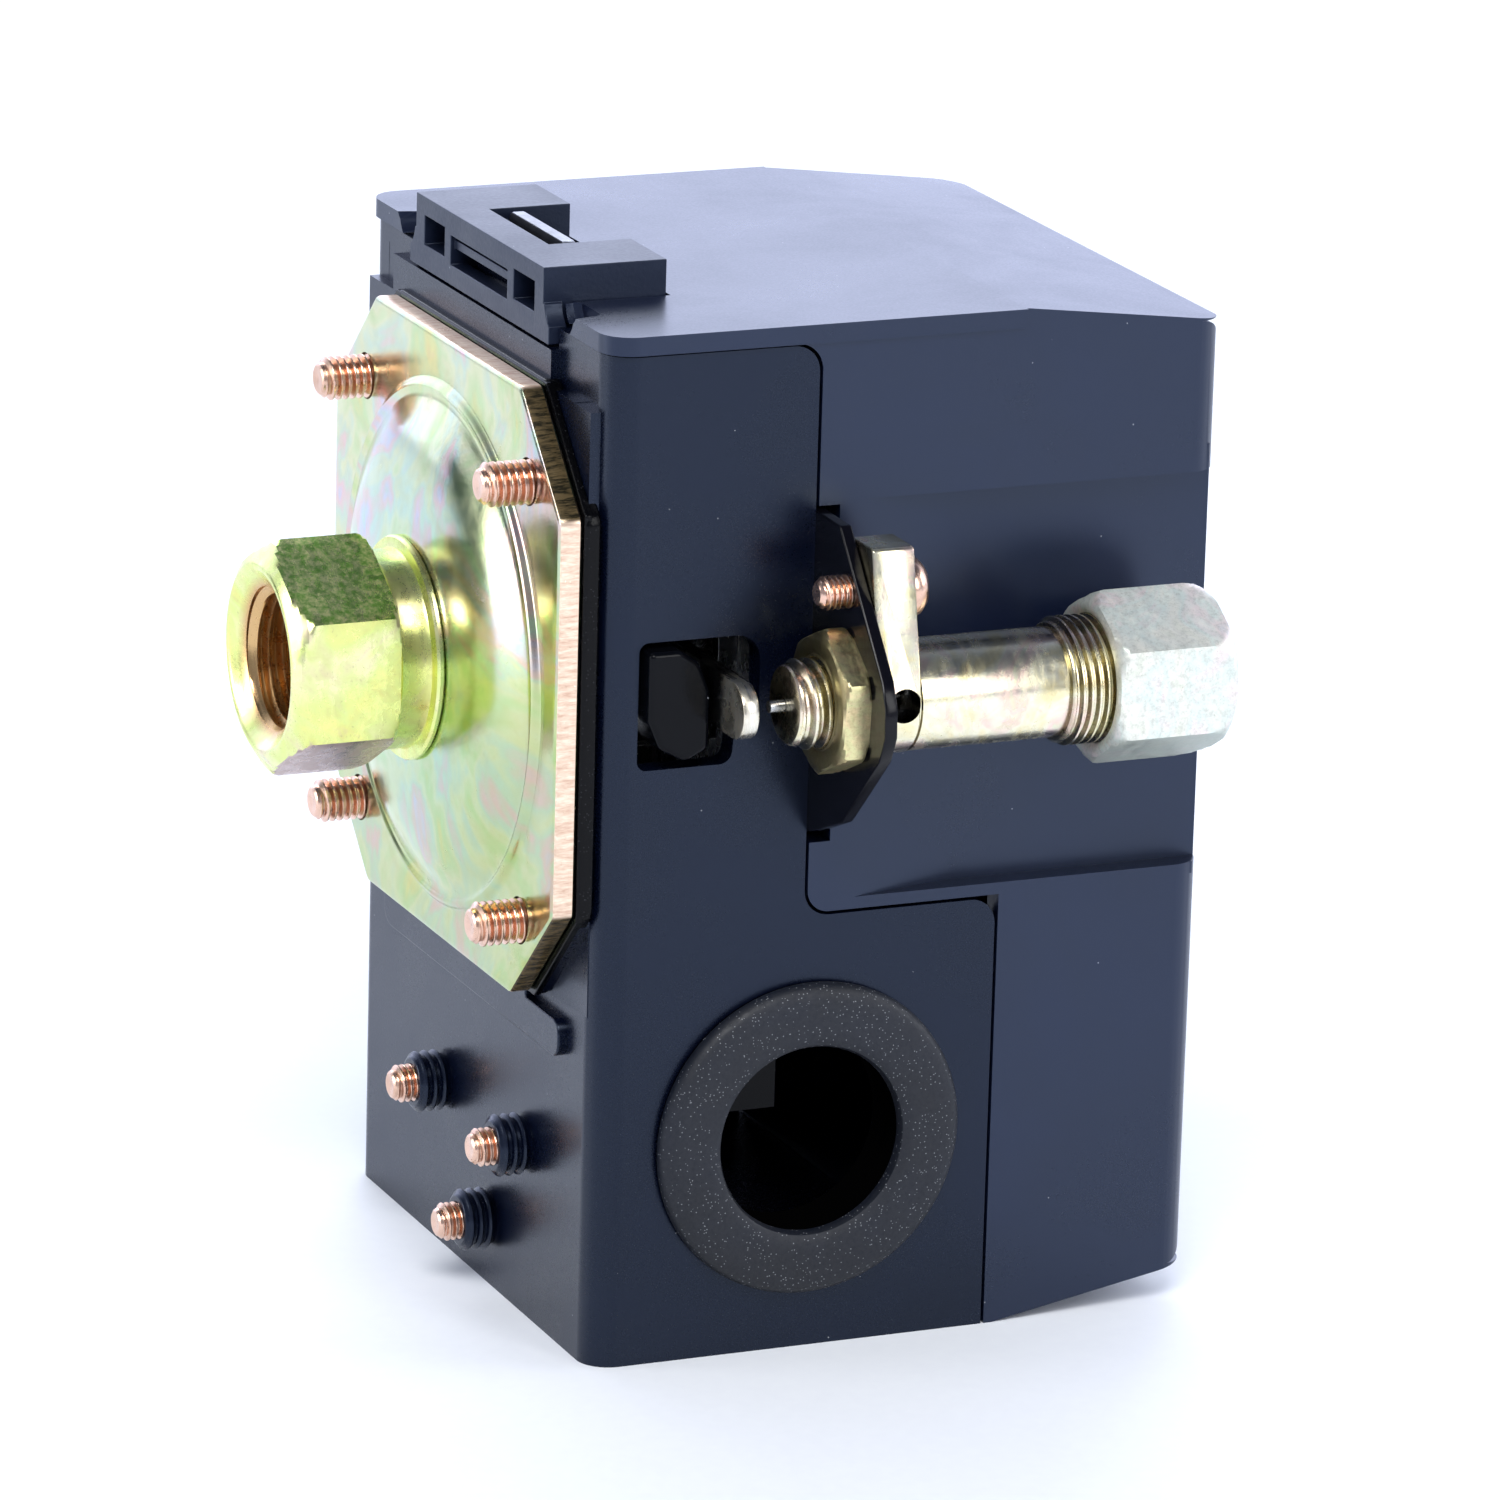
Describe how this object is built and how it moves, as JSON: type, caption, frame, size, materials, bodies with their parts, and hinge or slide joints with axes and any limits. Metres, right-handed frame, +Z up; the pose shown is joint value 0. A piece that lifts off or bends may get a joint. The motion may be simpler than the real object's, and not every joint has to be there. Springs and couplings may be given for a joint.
{
  "type": "pressure switch",
  "caption": "Boxy black diaphragm pressure switch with a hexagonal port on a square flange, two rubber cable entries and a side unloader valve.",
  "frame": {"origin": "centre of the pressure port's mouth", "axes": "-X out of the pressure port, +X the way the cover comes off, the unloader valve runs along the -Y side, +Z up from the end that the switch stands on"},
  "size_m": [0.08, 0.0766, 0.0974],
  "materials": {
    "black_plastic": "satin moulded black plastic",
    "yellow_zinc": "yellow chromate zinc plating with iridescent tints",
    "white_zinc": "bright zinc-plated steel",
    "steel": "plain zinc-plated steel",
    "copper": "copper-plated steel",
    "brass": "bare brass",
    "silver": "silver contact",
    "rubber": "black rubber",
    "brown_plastic": "brown phenolic moulding",
    "green_steel": "green earth screws",
    "black_steel": "black-finished steel"
  },
  "bodies": {
    "housing": {"base_housing": "black_plastic", "lever_guard": "black_plastic", "flange_plate": "yellow_zinc", "port_fitting": "yellow_zinc", "diaphragm": "rubber", "flange_screws": "copper", "main_frame": "steel", "frame_top_bar": "steel", "contact_block": "black_plastic", "block_screws": "copper", "fixed_contacts": "brass", "fixed_contact_tips": "silver", "terminal_clamps": "white_zinc", "terminal_screws": "steel", "ground_screws": "green_steel", "grommet_front": "rubber", "grommet_rear": "rubber", "pivot_pin": "steel", "off_lever_pin": "steel", "range_spring": "steel", "differential_spring": "steel", "valve_bracket": "black_steel", "valve_body": "yellow_zinc", "valve_ear_screw": "copper", "valve_lock_nut": "yellow_zinc", "valve_seal": "rubber", "valve_spring": "steel", "tube_ferrule": "brass", "compression_nut": "white_zinc"},
    "cover": {"top_cover": "black_plastic", "cover_screws": "steel"},
    "rocker": {"rocker_lever": "steel", "rocker_end_cap": "black_plastic"},
    "piston": {"piston": "brass"},
    "carrier": {"contact_carrier": "brown_plastic", "contact_bridges": "copper", "contact_bridge_tips": "silver", "contact_springs": "steel"},
    "range_screw": {"range_screw": "white_zinc"},
    "range_seat": {"range_seat": "steel"},
    "differential_screw": {"differential_screw": "white_zinc"},
    "differential_seat": {"differential_seat": "steel"},
    "off_lever": {"off_lever": "steel"},
    "valve_pin": {"valve_pin": "steel"}
  },
  "joints": [
    {"name": "cover_slide", "type": "slide", "parent": "housing", "child": "cover", "axis": [1, 0, 0], "range_m": [0, 0.07]},
    {"name": "rocker_pivot", "type": "hinge", "parent": "housing", "child": "rocker", "pos_m": [0.0345, 0, 0.022], "axis": [0, -1, 0], "range_deg": [0, 5.3], "stiffness_Nm_per_rad": 0.2, "springref_deg": -5.73, "deforming": ["range_spring", "differential_spring", "valve_spring"]},
    {"name": "piston_slide", "type": "slide", "parent": "housing", "child": "piston", "axis": [1, 0, 0], "range_m": [0, 0.0021]},
    {"name": "carrier_slide", "type": "slide", "parent": "housing", "child": "carrier", "axis": [1, 0, 0], "range_m": [0, 0.0041]},
    {"name": "valve_pin_slide", "type": "slide", "parent": "housing", "child": "valve_pin", "axis": [1, 0, 0], "range_m": [0, 0.0007]},
    {"name": "range_screw_turn", "type": "hinge", "parent": "housing", "child": "range_screw", "pos_m": [0.059, 0, 0.004], "axis": [1, 0, 0], "range_deg": [-1081, 1081]},
    {"name": "range_seat_slide", "type": "slide", "parent": "housing", "child": "range_seat", "axis": [1, 0, 0], "range_m": [-0.003, 0.003], "deforming": ["range_spring"]},
    {"name": "differential_screw_turn", "type": "hinge", "parent": "housing", "child": "differential_screw", "pos_m": [0.059, 0, -0.01], "axis": [1, 0, 0], "range_deg": [-1081, 1081]},
    {"name": "differential_seat_slide", "type": "slide", "parent": "housing", "child": "differential_seat", "axis": [1, 0, 0], "range_m": [-0.0021, 0.0021], "deforming": ["differential_spring"]},
    {"name": "off_lever_pivot", "type": "hinge", "parent": "housing", "child": "off_lever", "pos_m": [0.0264, 0, 0.014], "axis": [0, 1, 0], "range_deg": [0, 12]}
  ],
  "couplings": [
    {"joint": "piston_slide", "follows": "rocker_pivot", "m_per_rad": 0.022},
    {"joint": "carrier_slide", "follows": "rocker_pivot", "m_per_rad": 0.042},
    {"joint": "valve_pin_slide", "follows": "rocker_pivot", "m_per_rad": 0.0065},
    {"joint": "range_screw_turn", "follows": "range_seat_slide", "rad_per_m": -6283.2},
    {"joint": "differential_screw_turn", "follows": "differential_seat_slide", "rad_per_m": -8976}
  ]
}
